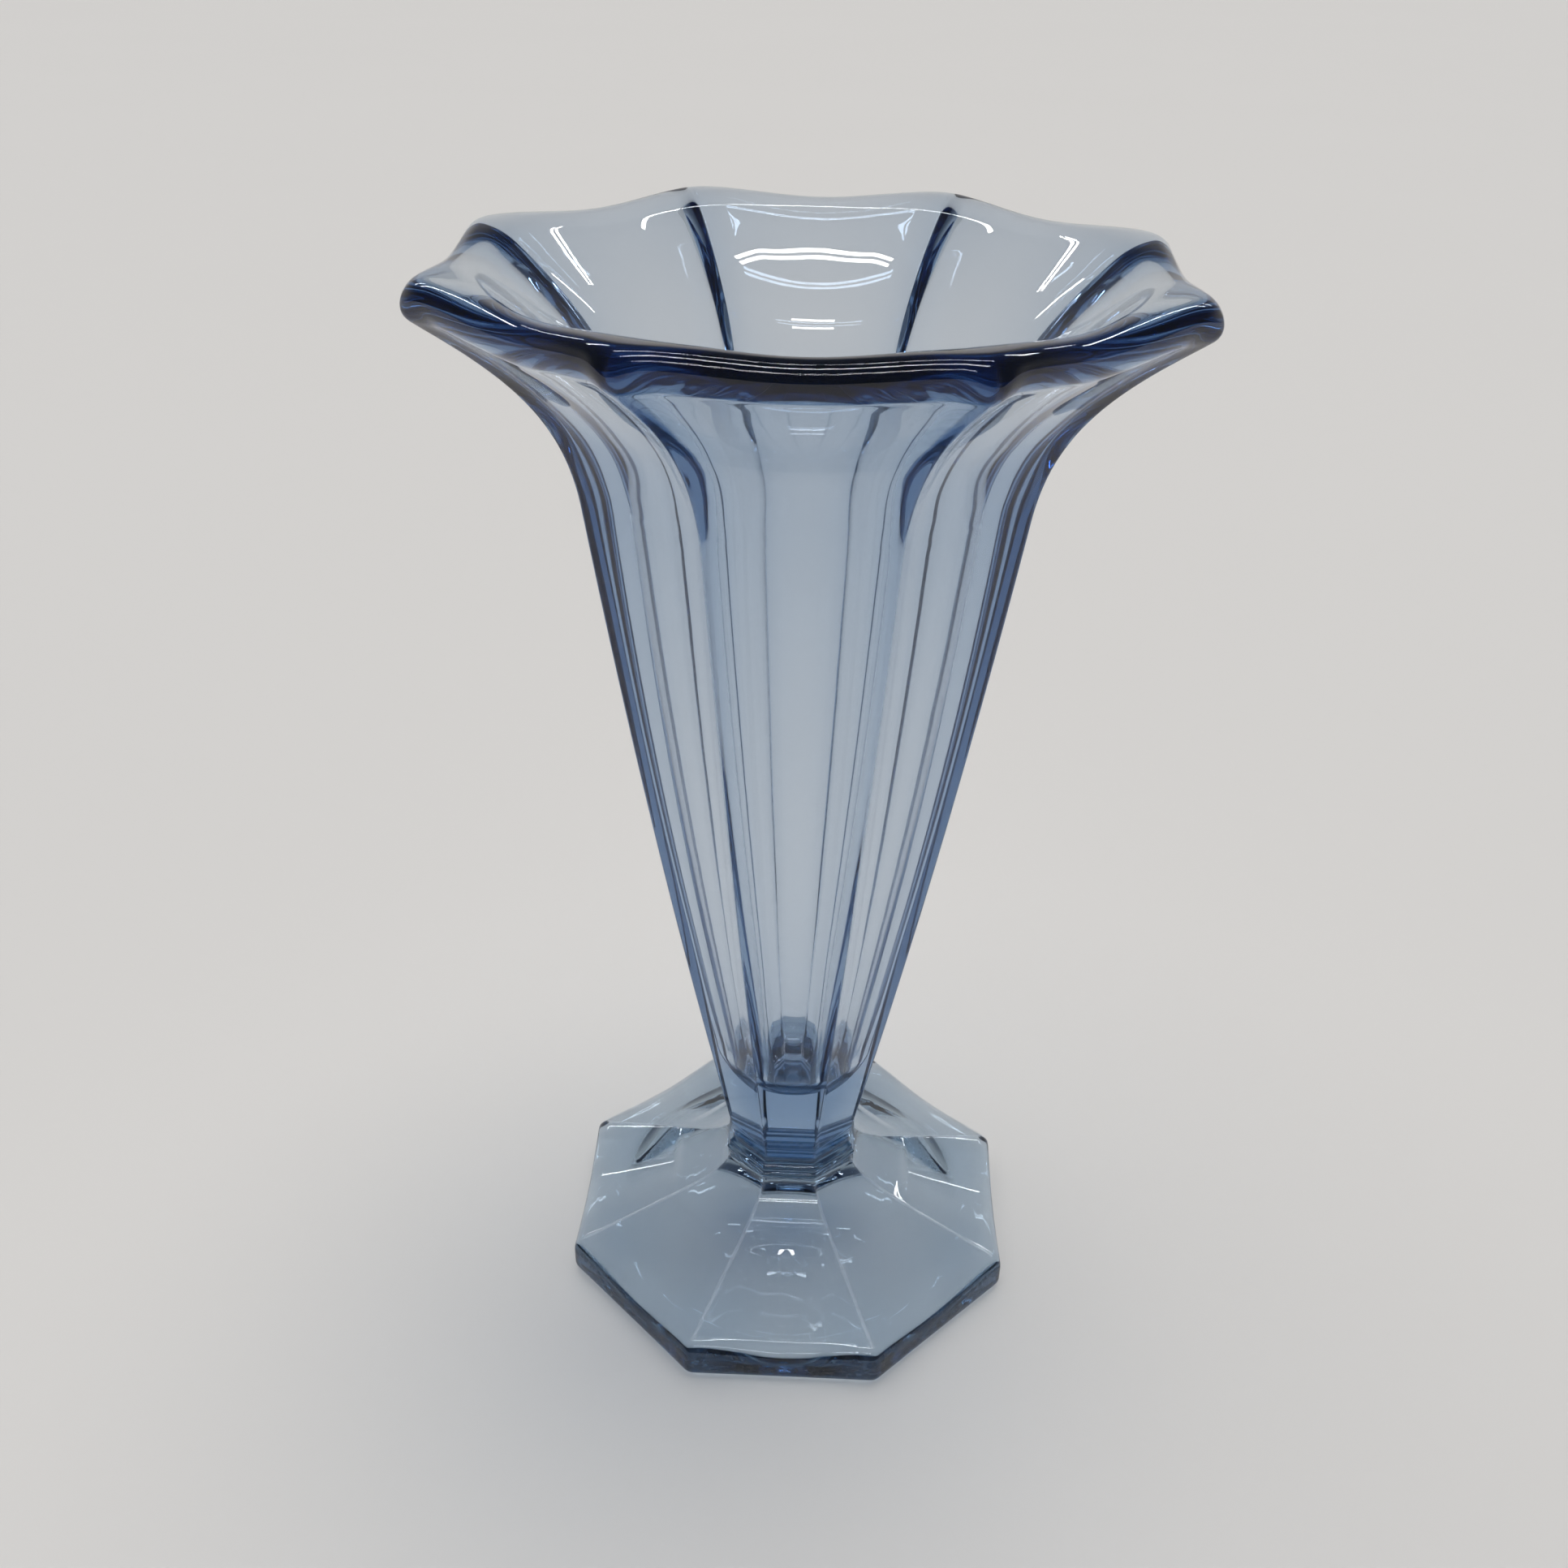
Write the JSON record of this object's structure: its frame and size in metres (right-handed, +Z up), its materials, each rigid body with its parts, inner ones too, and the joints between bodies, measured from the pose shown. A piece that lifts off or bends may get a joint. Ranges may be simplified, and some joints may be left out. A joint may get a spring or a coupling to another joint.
{
  "type": "tulip vase",
  "caption": "Tall octagonal trumpet vase in pale blue pressed glass with a flared scalloped mouth, ribbed corners and a faceted foot, for holding cut tulips in water.",
  "frame": {"origin": "middle of the face that the foot rests on", "axes": "+Z up along the axis of the vase, with one flat panel facing -Y"},
  "size_m": [0.1154, 0.1154, 0.2],
  "materials": {
    "bowl_glass": "fire-polished pale blue pressed glass",
    "collar_glass": "blue glass joined hot, with a ragged seam",
    "foot_glass": "pale blue pressed glass, worn on the resting rim"
  },
  "bodies": {
    "root": {"trumpet_bowl": "bowl_glass", "neck_collar": "collar_glass", "octagonal_foot": "foot_glass"}
  },
  "joints": []
}
